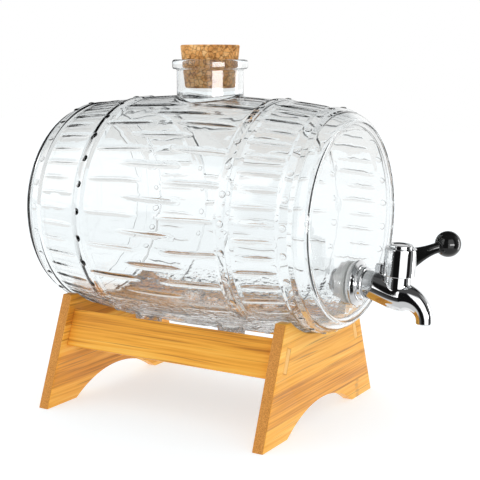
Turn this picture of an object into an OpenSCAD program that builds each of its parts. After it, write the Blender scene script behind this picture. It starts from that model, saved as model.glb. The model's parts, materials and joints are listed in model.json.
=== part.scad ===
// Glass barrel drink dispenser: a moulded glass barrel lying on a bamboo stand,
// with a cork in its neck and a chromed quarter-turn tap in its front head.
// Millimetres. +X runs along the barrel towards the tap, +Z is up, and the
// origin is on the table, under the middle of the whole object.

/* [Barrel] */
// Length of the glass barrel over its two flat heads
barrel_len = 221; // [180:1:260]
// Radius of the staves at the middle of the barrel
belly_r = 79.8; // [70:0.2:88]
// Radius of the long curve that the staves follow
stave_curve_r = 620; // [400:10:800]
// Height of the lowest staves above the table
belly_lift = 56.2; // [52:0.2:70]
// Thickness of the glass
glass_wall = 4; // [3:0.25:5.5]
// Rounding where the staves turn into a head
head_round_r = 9.5; // [7:0.5:14]

/* [Hoops] */
// Width of a moulded hoop
hoop_w = 9; // [6:0.5:12]
// How far a hoop stands out of the staves
hoop_h = 1.8; // [1.5:0.1:4]
// Distance of the two middle hoops from the neck's axis
mid_hoop_x = 56; // [44:1:66]
// Gap between an end panel of the stand and the rim hoop beside it
rim_hoop_gap = 0.8; // [0.5:0.1:3]
// Rounding of a hoop's edges
hoop_round_r = 1.2; // [0.5:0.1:1.4]

/* [Glass feet] */
// Distance of a foot from the neck's axis, along the barrel
foot_x = 34; // [26:1:42]
// Distance of a foot from the middle plane
foot_y = 28; // [22:1:32]
// Radius of a foot where it meets the table
foot_r = 8; // [6:0.5:10]
// How much a foot spreads up to the glass
foot_spread = 1.8; // [0.5:0.1:3]
// How far the feet reach below the belly
foot_reach = 3; // [2:0.5:6]

/* [Neck and cork] */
// Outer radius of the neck
neck_r = 22.9; // [21:0.1:28]
// Inner radius of the neck
neck_bore_r = 19.6; // [17:0.1:20]
// Height of the neck's top above the belly
neck_h = 24.4; // [18:0.2:36]
// Outer radius of the rounded lip
lip_r = 26; // [24:0.25:32]
// Height of the rounded lip
lip_h = 6.4; // [4:0.2:9]
// Fillet where the neck leaves the barrel
neck_fillet_r = 2; // [1.5:0.5:5]
// Radius that the cork loses per millimetre of depth
cork_taper = 0.105; // [0.06:0.005:0.14]
// How far the cork stands out of the neck
cork_out = 9.8; // [6:0.2:16]
// How far the cork goes into the neck
cork_in = 19.2; // [12:0.2:26]
// Chamfer on the cork's edges
cork_chamfer = 1.2; // [0.4:0.1:2]

/* [Stand] */
// How much shorter the stand is than the barrel
stand_short = 41; // [36:1:60]
// How far the stand's middle lies behind the neck's axis
stand_back = 1.5; // [0:0.5:4]
// Thickness of the bamboo boards
board_t = 8; // [6:0.5:12]
// Width of an end panel at the table
panel_bottom_w = 162; // [140:1:190]
// Width of an end panel at its top
panel_top_w = 104; // [98:1:124]
// Height of an end panel
panel_h = 76; // [70:1:86]
// Width of the arch between a panel's two feet
arch_w = 98; // [70:1:110]
// Height of the arch
arch_h = 15; // [8:0.5:20]
// Width of a side rail, measured up its slope
rail_w = 26; // [20:1:30]
// Height of the middle of a side rail
rail_z = 52; // [48:1:56]
// How far the rails lie inside the slanted edges of the panels
rail_inset = 6.5; // [4:0.5:10]
// Thickness of a tenon
tenon_t = 5; // [3:0.5:6]
// Width of a tenon, measured up its slope
tenon_w = 16.4; // [10:0.2:19]

/* [Tap] */
// Height of the tap's shank above the lowest staves
tap_rise = 40.2; // [34:0.2:50]
// Radius of the threaded shank through the head
shank_r = 8; // [7:0.5:9]
// Length of the shank inside the glass
shank_inside = 13; // [11:0.5:20]
// Radius of the flange
flange_r = 15; // [13.5:0.5:18]
// Thickness of the flange
flange_t = 3.2; // [2:0.2:5]
// Radius of the collar in front of the flange
collar_r = 11; // [10:0.5:12.5]
// Length of the collar
collar_len = 4; // [2.5:0.5:6]
// Distance from the head to the middle of the valve
valve_reach = 30; // [27:0.5:38]
// Drop from the shank's axis to the middle of the valve
valve_drop = 5.9; // [3:0.1:8]
// Forward lean of the valve, in degrees
valve_lean = 4; // [0:0.5:8]
// Radius of the tap's belly round the valve
belly_tap_r = 9.4; // [9:0.1:10.5]
// Radius of the spout's bend
spout_bend_r = 14; // [12:0.5:18]
// Length of the straight end of the spout
spout_end = 1.7; // [0.5:0.1:6]
// Outer radius of the spout's mouth
spout_r = 5.4; // [4.6:0.1:6.5]
// Radius of the waterway
waterway_r = 3; // [2.5:0.1:3.4]
// Thickness of the gaskets
gasket_t = 2; // [1.5:0.25:3]
// Thickness of the slip washer
washer_t = 1.2; // [0.8:0.1:2]
// Thickness of the shank nut
nut_t = 5; // [4:0.5:7]
// Width of the shank nut across its flats
nut_af = 22; // [20:1:24]

/* [Valve and lever] */
// Radius of the valve plug
plug_r = 7; // [6.6:0.1:7.2]
// Depth of the plug below the middle of the waterway
plug_depth = 6.9; // [6.6:0.1:7.1]
// Thickness of an O-ring's cord
o_ring_t = 1.5; // [1.2:0.1:1.6]
// Radius of the neck that the plug turns in
valve_neck_r = 8.8; // [8.6:0.1:9.2]
// Height of the handle's lower edge above the middle of the waterway
hub_low = 13.9; // [12.5:0.1:15]
// Height of the handle's hub
hub_h = 18.1; // [16:0.1:24]
// Radius of the handle's hub
hub_r = 10.6; // [10.4:0.1:12]
// Angle of the lever from the spout as stored, in degrees
lever_angle = 52; // [0:1:90]
// Travel of the lever between its stops, in degrees
lever_travel = 90; // [60:5:100]
// Distance from the valve's axis to the middle of the ball
lever_len = 35.5; // [30:0.5:48]
// Radius of the ball on the lever
ball_r = 8.5; // [7:0.25:10]
// Height of the ball's middle above the hub's top
ball_rise = 2.5; // [0:0.5:8]
// Radius of the cap on the hub
cap_r = 7.8; // [6:0.1:9]
// Height of the cap
cap_h = 2; // [1.2:0.1:3]

/* [Fits] */
// Gap between the glass and what it rests on or holds
seat_gap = 0.3; // [0.2:0.05:0.5]
// Gap all round a tenon, a screw or a nut in its hole
slip_gap = 0.05; // [0.02:0.01:0.15]
// Radial gap of the plug in its chamber
plug_gap = 0.05; // [0.02:0.01:0.1]
// Gap beside parts that turn past each other
turn_gap = 0.4; // [0.3:0.1:0.8]

/* [Hidden] */
$fn = 96;
// Overlap of a cutter past the face that it cuts
cut = 1;

// Barrel: its axis, centre of the stave curve, ends and hoop places
barrel_axis_z = belly_lift + belly_r;
head_x = barrel_len / 2;
stave_centre_r = belly_r - stave_curve_r;
function stave_r(x) = stave_centre_r + sqrt(stave_curve_r * stave_curve_r - x * x);
stand_len = barrel_len - stand_short;
panel_out_x = stand_len / 2;
panel_in_x = panel_out_x - board_t;
rim_hoop_x = panel_out_x + stand_back + rim_hoop_gap + hoop_w / 2;
hoop_places = [-rim_hoop_x, -mid_hoop_x, mid_hoop_x, rim_hoop_x];
glass_top_z = barrel_axis_z + belly_r + neck_h;
cradle_r = stave_r(panel_in_x - stand_back) + seat_gap;

// The glass is one moulding, drawn as four nodes that meet on plain cuts, so
// that the collision pieces of each stay clear of the room inside. The rounding of
// a head stands a hair proud of the stave curve, so that the two arcs cross cleanly,
// and a head is cut off just past the place where it takes over from the staves.
round_proud = 0.02;
joint_past = 0.5;
round_start_x = (head_x - head_round_r) * stave_curve_r / (stave_curve_r - head_round_r);
head_joint_x = round_start_x + joint_past;
shoulder_r = lip_r + 2;

// Cork: its cone passes the neck's rim with the seat's gap
cork_rim_r = neck_bore_r - seat_gap;
cork_top_r = cork_rim_r + cork_out * cork_taper;
cork_low_r = cork_rim_r - cork_in * cork_taper;

// Stand: slope of the panels' edges and place of the rails
panel_slope = atan((panel_bottom_w - panel_top_w) / 2 / panel_h);
rail_out_y = panel_bottom_w / 2 - rail_z * tan(panel_slope) - rail_inset;
rail_y = rail_out_y - board_t / 2 / cos(panel_slope);
arch_r = (arch_w * arch_w / 4 + arch_h * arch_h) / (2 * arch_h);

// Tap: heights and distances from the front head
tap_z = belly_lift + tap_rise;
flange_x = head_x + gasket_t;
collar_x = flange_x + flange_t;
tube_x = collar_x + collar_len;
valve_x = head_x + valve_reach;
valve_z = tap_z - valve_drop;
tube_r = collar_r - 1.8;
bend_x = valve_x + plug_r;
bend_z = valve_z - spout_bend_r;
mouth_z = bend_z - spout_end;
washer_x = head_x - glass_wall - gasket_t;
nut_x = washer_x - washer_t;
shank_end_x = head_x - glass_wall - shank_inside;
shank_bore_r = shank_r - 3;
gasket_r = flange_r - 1.2;

// Valve: heights above the middle of the waterway, along the valve's axis
chamber_r = plug_r + plug_gap;
chamber_floor = -plug_depth - turn_gap;
o_ring_s = waterway_r + o_ring_t;
o_ring_r = chamber_r - plug_gap / 2;
groove_r = o_ring_r - o_ring_t - slip_gap;
plug_top = o_ring_s + 4 * o_ring_t;
ring_low = plug_top + slip_gap * 2;
ring_t = 1;
ring_depth = 0.7;
stem_r = plug_r - 2;
stem_top = hub_low + 1;
drive_w = 6.4;
drive_h = 7;
hub_top = hub_low + hub_h;
neck_inside = 1.8;
neck_top = hub_low + neck_inside;
hub_roof = neck_top + turn_gap;
drive_top = hub_roof + drive_h;
web_t = 2;
screw_r = 1.75;
screw_head_r = 3.4;
screw_head_h = 2;
screw_len = 8;
pocket_r = screw_head_r + 0.8;
pocket_floor = drive_top + web_t;
spigot_len = 4;
key_r = [chamber_r + turn_gap, valve_neck_r - turn_gap / 2];
key_arc = 24;
key_low = hub_low + turn_gap;
key_drop = 0.3;
ball_s = hub_top + ball_rise;
tang_w = 4.4;
tang_h = 8;
tang_len = 3.6;
tang_drop = 11;
tang_low = hub_top - tang_drop;

// Arm of the lever: its edges at the hub and at the ball, and its half width
arm_root_depth = 3.2;
arm_root_h = 12.9;
arm_root_drop = 0.4;
arm_root_high = hub_top - arm_root_drop;
arm_root_low = arm_root_high - arm_root_h;
arm_end_half_h = 4.3;
arm_half_w = 3.6;
arm_waist = 0.7;

// Post that the handle's stop leans on
post_gap_r = hub_r + turn_gap;
post_depth = 4.5;
post_t = 5;
post_h = 5.6;
post_web_h = 7;

// Middle of the whole object, taken to X = 0
lean_x = ball_s * sin(valve_lean) + lever_len * cos(lever_angle) * cos(valve_lean);
object_front_x = max(valve_x + lean_x + ball_r, bend_x + spout_bend_r + spout_r);
origin_x = (object_front_x - head_x) / 2;

// Colours of the real pieces
bamboo = [0.87, 0.60, 0.27];
cork_brown = [0.76, 0.52, 0.27];
glass_tint = [0.86, 0.92, 0.94, 0.4];
chrome = [0.80, 0.81, 0.83];
rubber = [0.16, 0.16, 0.17];
black_plastic = [0.05, 0.05, 0.05];
silicone = [0.90, 0.91, 0.90];
nylon = [0.92, 0.92, 0.90];

// Moves a piece from the barrel's middle to the object's own origin
module placed(tint) {
  color(tint) translate([-origin_x, 0, 0]) children();
}

// Turns a profile of (radius, distance) round the barrel's axis
module round_barrel() {
  translate([0, 0, barrel_axis_z]) rotate([0, 90, 0]) rotate_extrude() children();
}

// Turns a profile of (radius, distance) round the tap's shank
module round_shank(x) {
  translate([x, 0, tap_z]) rotate([0, 90, 0]) rotate_extrude() children();
}

// Puts a piece on the valve's leaning axis, with the waterway at zero height
module on_valve(turn = 0) {
  translate([valve_x, 0, valve_z]) rotate([0, valve_lean, 0]) rotate([0, 0, turn]) children();
}

// A ring of square section round Z
module ring(inner_r, outer_r, low, high) {
  rotate_extrude() translate([inner_r, low]) square([outer_r - inner_r, high - low]);
}

// Half outline of a barrel inside the glass's outer face by the given depth
module barrel_outline(depth) {
  curve_r = stave_curve_r - depth;
  half = head_x - depth;
  round_r = head_round_r - depth / 2;
  round_y = half - round_r;
  reach = sqrt(pow(curve_r - round_r, 2) - round_y * round_y);
  round_x = stave_centre_r + reach + round_proud;
  tangent_y = round_y * curve_r / (curve_r - round_r);
  intersection() {
    translate([stave_centre_r, 0]) circle(curve_r, $fn = 720);
    translate([0, -tangent_y]) square([belly_r + cut, 2 * tangent_y]);
  }
  translate([0, -half]) square([round_x, 2 * half]);
  for (end = [-1, 1]) translate([round_x, end * round_y]) circle(round_r);
}

// Outline of one hoop with rounded edges, standing on the stave curve
module hoop_outline(x) {
  flat = hoop_w - 2 * hoop_round_r;
  translate([stave_centre_r, 0]) rotate(asin(x / stave_curve_r)) translate([stave_curve_r, 0]) {
    translate([-glass_wall / 2, -flat / 2]) square([glass_wall / 2 + hoop_h, flat]);
    translate([-glass_wall / 2, -hoop_w / 2]) square([glass_wall / 2 + hoop_h - hoop_round_r, hoop_w]);
    for (edge = [-1, 1]) translate([hoop_h - hoop_round_r, edge * flat / 2]) circle(hoop_round_r);
  }
}

// Neck with its fillet and rounded lip, as a profile of (radius, height)
module neck_outline() {
  low = barrel_axis_z + belly_r - glass_wall;
  fillet_z = barrel_axis_z + belly_r + neck_fillet_r - 0.6;
  lip_mid = glass_top_z - lip_h / 2;
  square_w = neck_r - neck_bore_r;
  translate([neck_bore_r, low]) square([square_w, glass_top_z - lip_h / 2 - low]);
  translate([neck_bore_r, glass_top_z - lip_h]) square([lip_r - lip_h / 2 - neck_bore_r, lip_h]);
  translate([lip_r - lip_h / 2, lip_mid]) circle(lip_h / 2);
  difference() {
    translate([neck_bore_r, low]) square([square_w + neck_fillet_r, fillet_z - low]);
    translate([neck_r + neck_fillet_r, fillet_z]) circle(neck_fillet_r);
  }
}

// Half section of the glass wall with its hoops
module glass_wall_outline() {
  difference() {
    union() {
      barrel_outline(0);
      for (x = hoop_places) hoop_outline(x);
    }
    barrel_outline(glass_wall);
  }
}

// The part of that section that belongs to the front head
module head_zone() {
  translate([-cut, head_joint_x]) square([belly_r + 2 * cut, head_round_r + cut]);
}

// Room of the neck and of the round shoulder that it stands on
module neck_zone() {
  translate([0, 0, barrel_axis_z]) cylinder(h = belly_r + neck_h + cut, r = shoulder_r);
}

// Stave wall with its hoops and four feet
module glass_barrel() {
  foot_low = belly_lift - foot_reach;
  foot_top = barrel_axis_z - sqrt(belly_r * belly_r - foot_y * foot_y) + glass_wall;
  placed(glass_tint) difference() {
    union() {
      round_barrel() difference() {
        glass_wall_outline();
        head_zone();
        mirror([0, 1]) head_zone();
      }
      for (x = [-foot_x, foot_x], y = [-foot_y, foot_y])
        translate([x, y, foot_low])
          cylinder(h = foot_top - foot_low, r1 = foot_r, r2 = foot_r + foot_spread);
    }
    round_barrel() barrel_outline(glass_wall);
    neck_zone();
  }
}

// Front head with the hole for the tap's shank
module glass_front_head() {
  placed(glass_tint) difference() {
    round_barrel() intersection() {
      glass_wall_outline();
      head_zone();
    }
    translate([head_x - glass_wall - cut, 0, tap_z]) rotate([0, 90, 0])
      cylinder(h = glass_wall + 2 * cut, r = shank_r + seat_gap);
  }
}

module glass_rear_head() {
  placed(glass_tint) round_barrel() intersection() {
    glass_wall_outline();
    mirror([0, 1]) head_zone();
  }
}

// Neck with its rounded lip, on the round shoulder of the stave wall
module glass_neck() {
  placed(glass_tint) difference() {
    intersection() {
      union() {
        round_barrel() glass_wall_outline();
        rotate_extrude() neck_outline();
      }
      neck_zone();
    }
    round_barrel() barrel_outline(glass_wall);
    translate([0, 0, barrel_axis_z]) cylinder(h = glass_top_z - barrel_axis_z + cut, r = neck_bore_r);
  }
}

module cork_stopper() {
  low = glass_top_z - cork_in;
  high = glass_top_z + cork_out;
  placed(cork_brown) rotate_extrude() polygon([
    [0, low], [cork_low_r - cork_chamfer, low], [cork_low_r, low + cork_chamfer],
    [cork_top_r, high - cork_chamfer / 2], [cork_top_r - cork_chamfer / 2, high], [0, high]]);
}

// Places a rail's cross-section on one side of the stand, leaning with the panels
module on_rail(side) {
  translate([0, side * rail_y, rail_z]) rotate([side * panel_slope, 0, 0]) children();
}

// End panel with its arch, its cradle for the glass and two mortises
module end_panel(x) {
  placed(bamboo) difference() {
    translate([x, 0, 0]) rotate([90, 0, 90]) linear_extrude(board_t) difference() {
      polygon([[-panel_bottom_w / 2, 0], [panel_bottom_w / 2, 0],
               [panel_top_w / 2, panel_h], [-panel_top_w / 2, panel_h]]);
      translate([0, arch_h - arch_r]) circle(arch_r);
      translate([0, barrel_axis_z]) circle(cradle_r);
    }
    for (side = [-1, 1]) on_rail(side)
      translate([x - cut, -tenon_t / 2 - slip_gap, -tenon_w / 2 - slip_gap])
        cube([board_t + 2 * cut, tenon_t + 2 * slip_gap, tenon_w + 2 * slip_gap]);
  }
}

module stand_front_panel() { end_panel(panel_in_x - stand_back); }
module stand_rear_panel() { end_panel(-panel_out_x - stand_back); }

// Side rail with a shouldered tenon at each end, flush with the panels' faces
module side_rail(side) {
  placed(bamboo) on_rail(side) {
    translate([-panel_in_x - stand_back, -board_t / 2, -rail_w / 2])
      cube([2 * panel_in_x, board_t, rail_w]);
    translate([-panel_out_x - stand_back, -tenon_t / 2, -tenon_w / 2])
      cube([stand_len, tenon_t, tenon_w]);
  }
}

module stand_rail_left() { side_rail(1); }
module stand_rail_right() { side_rail(-1); }

// A station of the tap's skin: place (x, z), direction in degrees and radius
function ease(u) = u * u * (3 - 2 * u);
function tube_station(u) =
  let (run = bend_x - tube_x, fall = valve_drop * 6 * u * (1 - u) / run)
  [tube_x + u * run, tap_z - valve_drop * ease(u), -atan(fall),
   tube_r + (belly_tap_r - tube_r) * sin(150 * u) / sin(90)];
bend_start_r = tube_r + (belly_tap_r - tube_r) * sin(150);
function bend_station(v) =
  [bend_x + spout_bend_r * sin(90 * v), bend_z + spout_bend_r * cos(90 * v), -90 * v,
   spout_r + (bend_start_r - spout_r) * pow(1 - v, 1.7)];
tube_steps = 7;
bend_steps = 10;
skin_sides = 28;
skin = concat(
  [[tube_x - collar_len, tap_z, 0, tube_r]],
  [for (i = [0 : tube_steps - 1]) tube_station(i / tube_steps)],
  [for (i = [0 : bend_steps]) bend_station(i / bend_steps)],
  [[bend_x + spout_bend_r, mouth_z, -90, spout_r]]);

// Closed skin through rings of points; each ring has the same number of sides
module loft(rings) {
  n = len(rings[0]);
  m = len(rings);
  sides = [for (i = [0 : m - 2], j = [0 : n - 1], half = [0, 1])
    let (a = i * n + j, b = i * n + (j + 1) % n)
    half == 0 ? [a, b, b + n] : [a, b + n, a + n]];
  ends = [[for (j = [0 : n - 1]) n - 1 - j], [for (j = [0 : n - 1]) (m - 1) * n + j]];
  polyhedron([for (r = rings) each r], concat(sides, ends));
}

function skin_ring(s) = [for (j = [0 : skin_sides - 1])
  let (a = 360 * j / skin_sides, up = s[3] * cos(a), across = s[3] * sin(a))
  [s[0] - up * sin(s[2]), across, s[1] + up * cos(s[2])]];

// Flange, stepped collar and threaded shank, as a profile of (radius, distance)
module flange_outline() {
  lip = 0.8;
  step = 1.2;
  polygon([[0, 0], [flange_r, 0], [flange_r, flange_t - lip], [flange_r - lip, flange_t],
           [collar_r + step, flange_t], [collar_r + step, flange_t + step],
           [collar_r, flange_t + step], [collar_r, flange_t + collar_len - lip],
           [collar_r - lip, flange_t + collar_len], [0, flange_t + collar_len]]);
}

// Post behind the handle, standing on the valve's neck
module stop_post() {
  post_out_r = post_gap_r + post_depth;
  web_low = hub_low - post_web_h;
  post_top = hub_low + post_h;
  inner_r = valve_neck_r - 1;
  on_valve() translate([0, post_t / 2, 0]) rotate([90, 0, 0]) linear_extrude(post_t)
    polygon([[-inner_r, web_low], [-post_out_r, hub_low - 2], [-post_out_r, post_top - 0.8],
             [-post_out_r + 0.8, post_top], [-post_gap_r, post_top],
             [-post_gap_r, hub_low - turn_gap], [-inner_r, hub_low - turn_gap]]);
}

// Waterway: down the shank, down to the valve, and round the spout's bend
module waterway() {
  slope_x = tube_x;
  slope = atan(valve_drop / (valve_x - slope_x));
  translate([shank_end_x - cut, 0, tap_z]) rotate([0, 90, 0])
    cylinder(h = slope_x - shank_end_x + cut, r = shank_bore_r);
  translate([slope_x, 0, tap_z]) sphere(shank_bore_r);
  translate([slope_x, 0, tap_z]) rotate([0, 90 + slope, 0])
    cylinder(h = (valve_x - slope_x) / cos(slope), r = waterway_r);
  translate([valve_x, 0, valve_z]) rotate([0, 90, 0]) cylinder(h = bend_x - valve_x, r = waterway_r);
  translate([bend_x, 0, bend_z]) rotate([90, 0, 0]) rotate_extrude(angle = 90)
    translate([spout_bend_r, 0]) circle(waterway_r);
  translate([bend_x + spout_bend_r, 0, mouth_z - cut]) cylinder(h = spout_end + cut, r = waterway_r);
}

module tap_body() {
  placed(chrome) difference() {
    union() {
      translate([shank_end_x, 0, tap_z]) rotate([0, 90, 0])
        cylinder(h = flange_x - shank_end_x, r = shank_r);
      round_shank(flange_x) flange_outline();
      loft([for (s = skin) skin_ring(s)]);
      on_valve() cylinder(h = neck_top, r = valve_neck_r);
      stop_post();
    }
    waterway();
    on_valve() {
      translate([0, 0, chamber_floor]) cylinder(h = neck_top - chamber_floor + cut, r = chamber_r);
      ring(chamber_r - cut, chamber_r + ring_depth, ring_low, ring_low + ring_t);
      // Slot in the neck's rim: the handle's key runs in it from stop to stop
      rotate([0, 0, 180 - key_arc / 2]) rotate_extrude(angle = lever_travel + key_arc)
        translate([chamber_r - cut / 2, key_low])
          square([valve_neck_r - chamber_r + cut, neck_top - key_low + cut]);
    }
  }
}

module outer_gasket() {
  placed(silicone) round_shank(head_x) translate([shank_r + slip_gap, 0])
    square([gasket_r - shank_r - slip_gap, gasket_t]);
}

module inner_gasket() {
  placed(silicone) round_shank(washer_x) translate([shank_r + slip_gap, 0])
    square([gasket_r - shank_r - slip_gap, gasket_t]);
}

module slip_washer() {
  placed(nylon) round_shank(nut_x) translate([shank_r + slip_gap, 0])
    square([gasket_r - shank_r - slip_gap, washer_t]);
}

module shank_nut() {
  placed(nylon) translate([nut_x - nut_t, 0, tap_z]) rotate([0, 90, 0]) difference() {
    cylinder(h = nut_t, r = nut_af / 2 / cos(30), $fn = 6);
    translate([0, 0, -cut]) cylinder(h = nut_t + 2 * cut, r = shank_r + slip_gap);
  }
}

// Plug with its cross bore, two O-ring grooves, a stem and a square drive
module valve_plug() {
  placed(nylon) on_valve(lever_angle) difference() {
    union() {
      translate([0, 0, -plug_depth]) cylinder(h = plug_depth + plug_top, r = plug_r);
      translate([0, 0, plug_top - cut]) cylinder(h = stem_top - plug_top + cut, r = stem_r);
      translate([-drive_w / 2, -drive_w / 2, stem_top - cut])
        cube([drive_w, drive_w, drive_top - slip_gap - stem_top + cut]);
    }
    rotate([0, 90, 0]) translate([0, 0, -plug_r - cut]) cylinder(h = 2 * (plug_r + cut), r = waterway_r);
    for (s = [-o_ring_s, o_ring_s])
      ring(groove_r, plug_r + cut, s - o_ring_t / 2 - slip_gap, s + o_ring_t / 2 + slip_gap);
    translate([0, 0, drive_top - screw_len]) cylinder(h = screw_len + cut, r = screw_r + slip_gap);
  }
}

// O-ring in its groove, running in the chamber
module o_ring(s) {
  placed(rubber) on_valve() rotate_extrude()
    translate([o_ring_r - o_ring_t / 2, s]) circle(o_ring_t / 2);
}

module upper_o_ring() { o_ring(o_ring_s); }
module lower_o_ring() { o_ring(-o_ring_s); }

// Snap ring in the neck's groove, above the plug's shoulder
module plug_retaining_ring() {
  snap_gap = 50;
  placed(chrome) on_valve(-snap_gap / 2) rotate_extrude(angle = 360 - snap_gap)
    translate([stem_r + turn_gap, ring_low + slip_gap])
      square([chamber_r + ring_depth - slip_gap - stem_r - turn_gap, ring_t - 2 * slip_gap]);
}

// A ring of the lever's arm, at u from the hub (0) to the ball (1)
arm_steps = 9;
arm_sides = 20;
function arm_ring(u) =
  let (root = hub_r - arm_root_depth, r = root + u * (lever_len - root),
       low = arm_root_low + (ball_s - arm_end_half_h - arm_root_low) * sin(90 * min(1, u * 1.08)),
       high = arm_root_high + (ball_s + arm_end_half_h - arm_root_high) * pow(u, 1.9),
       half_w = arm_half_w - arm_waist * sin(180 * u))
  [for (j = [0 : arm_sides - 1])
    let (a = 360 * j / arm_sides, c = cos(a), s = sin(a))
    [r, half_w * sign(s) * pow(abs(s), 0.8),
     (low + high) / 2 + (high - low) / 2 * sign(c) * pow(abs(c), 0.8)]];

// Outside of the hub, grown by a gap, as a profile of (radius, height)
module hub_outline(gap = 0) {
  edge = 0.8;
  polygon([
    [0, hub_low], [hub_r - edge / 2 + gap, hub_low], [hub_r + gap, hub_low + edge / 2],
    [hub_r - edge / 2 + gap, hub_top - edge], [hub_r - 1.5 * edge + gap, hub_top], [0, hub_top]]);
}

// Tang of the lever's arm, or with a gap its slot in the hub
module tang(gap = 0) {
  translate([hub_r - tang_len - gap, -tang_w / 2 - gap, tang_low - gap])
    cube([tang_len + cut + gap, tang_w + 2 * gap, tang_h + 2 * gap]);
}

// Hub with its cavity, square socket, stop key and the slot for the arm
module handle_hub() {
  placed(chrome) on_valve(lever_angle) {
    difference() {
      rotate_extrude() hub_outline();
      translate([0, 0, hub_low - cut]) cylinder(h = hub_roof - hub_low + cut, r = valve_neck_r + turn_gap);
      translate([-drive_w / 2 - slip_gap, -drive_w / 2 - slip_gap, hub_roof - cut])
        cube([drive_w + 2 * slip_gap, drive_w + 2 * slip_gap, drive_top - hub_roof + cut]);
      cylinder(h = pocket_floor + cut, r = screw_r + 0.2);
      translate([0, 0, pocket_floor]) cylinder(h = hub_top - pocket_floor + cut, r = pocket_r);
      tang(slip_gap);
    }
    rotate([0, 0, 180 - key_arc / 2 + 1]) rotate_extrude(angle = key_arc - 2)
      translate([key_r[0], key_low + key_drop])
        square([key_r[1] - key_r[0], hub_roof - key_low - key_drop + 0.2]);
  }
}

// Arm that fits round the hub with a tang in its slot, and the ball
module lever_arm() {
  placed(black_plastic) on_valve(lever_angle) {
    difference() {
      loft([for (i = [0 : arm_steps]) arm_ring(i / arm_steps)]);
      rotate_extrude() hub_outline(slip_gap);
    }
    tang();
    translate([lever_len, 0, ball_s]) sphere(ball_r);
  }
}

module handle_screw() {
  slot_w = 0.9;
  placed(chrome) on_valve(lever_angle) difference() {
    union() {
      translate([0, 0, pocket_floor]) cylinder(h = screw_head_h, r = screw_head_r);
      translate([0, 0, pocket_floor - web_t - screw_len + 2])
        cylinder(h = screw_len + web_t - 2, r = screw_r);
    }
    translate([-screw_head_r - cut, -slot_w / 2, pocket_floor + screw_head_h / 2])
      cube([2 * (screw_head_r + cut), slot_w, screw_head_h]);
  }
}

// Cap over the screw: a raised disc with a spigot pressed into the hub
module handle_cap() {
  edge = 0.6;
  dish_r = cap_r - 2;
  placed(chrome) on_valve(lever_angle) rotate_extrude() polygon([
    [0, hub_top - spigot_len], [pocket_r - slip_gap, hub_top - spigot_len], [pocket_r - slip_gap, hub_top],
    [cap_r, hub_top], [cap_r, hub_top + cap_h - edge], [cap_r - edge, hub_top + cap_h],
    [dish_r, hub_top + cap_h], [dish_r - edge, hub_top + cap_h - edge], [0, hub_top + cap_h - edge]]);
}

stand_front_panel();
stand_rear_panel();
stand_rail_left();
stand_rail_right();
glass_barrel();
glass_front_head();
glass_rear_head();
glass_neck();
cork_stopper();
tap_body();
outer_gasket();
inner_gasket();
slip_washer();
shank_nut();
valve_plug();
upper_o_ring();
lower_o_ring();
plug_retaining_ring();
handle_hub();
lever_arm();
handle_screw();
handle_cap();
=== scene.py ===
# %% [markdown]
# # Glass barrel drink dispenser
# A clear moulded barrel lies in a bamboo stand. A cork closes the neck on top,
# and a chromed quarter-turn tap comes out of the front head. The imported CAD
# model is the frame: every piece made here sits where its CAD solid sits, and
# rides on the same body, so the poses of the part move the dressed model too.

# %% Load the frame
import json
import math
from functools import partialmethod

import bmesh
import bpy
import numpy as np
from mathutils import Matrix, Vector


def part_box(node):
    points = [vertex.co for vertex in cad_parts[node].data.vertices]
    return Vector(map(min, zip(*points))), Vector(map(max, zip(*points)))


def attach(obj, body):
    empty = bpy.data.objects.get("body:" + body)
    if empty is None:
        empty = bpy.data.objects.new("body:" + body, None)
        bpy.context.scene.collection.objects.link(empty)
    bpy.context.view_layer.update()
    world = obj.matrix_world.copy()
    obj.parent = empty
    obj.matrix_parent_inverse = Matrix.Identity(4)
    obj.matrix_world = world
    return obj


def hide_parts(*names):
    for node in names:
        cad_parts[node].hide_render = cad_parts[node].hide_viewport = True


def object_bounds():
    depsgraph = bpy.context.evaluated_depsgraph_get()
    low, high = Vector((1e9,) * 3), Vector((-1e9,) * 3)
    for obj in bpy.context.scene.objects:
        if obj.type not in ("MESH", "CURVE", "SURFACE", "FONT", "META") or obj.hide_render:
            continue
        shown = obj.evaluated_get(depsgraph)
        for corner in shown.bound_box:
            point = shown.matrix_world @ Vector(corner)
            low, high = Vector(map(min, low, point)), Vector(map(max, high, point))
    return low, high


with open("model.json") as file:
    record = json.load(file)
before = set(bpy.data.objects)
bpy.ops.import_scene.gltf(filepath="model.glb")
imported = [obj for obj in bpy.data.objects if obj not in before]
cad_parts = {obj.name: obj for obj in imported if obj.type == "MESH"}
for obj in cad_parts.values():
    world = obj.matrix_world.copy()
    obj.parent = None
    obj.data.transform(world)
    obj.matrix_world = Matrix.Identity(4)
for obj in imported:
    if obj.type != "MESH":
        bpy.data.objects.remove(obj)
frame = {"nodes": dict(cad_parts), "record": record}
cad_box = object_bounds()
scene = bpy.context.scene
MM = 0.001
CIRCLE = 2 * math.pi
print("CAD box", [[round(float(v), 4) for v in corner] for corner in cad_box])

# %% [markdown]
# ## Sizes from the frame
# The places of the big pieces are read from the boxes of the CAD nodes. What a
# box can't tell, such as the radius of a curve, is a named value in metres.

# %% Places of the main pieces


def box_of(names):
    """Lowest and highest corner of several nodes together."""
    corners = [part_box(name) for name in names]
    low = np.min([c[0] for c in corners], axis=0)
    high = np.max([c[1] for c in corners], axis=0)
    return low, high


GLASS_NODES = [name for name in frame["nodes"] if name.startswith("glass_")]
glass_low, glass_high = box_of(GLASS_NODES)
cork_low, cork_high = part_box("cork_stopper")
gasket_low, gasket_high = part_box("outer_gasket")

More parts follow.
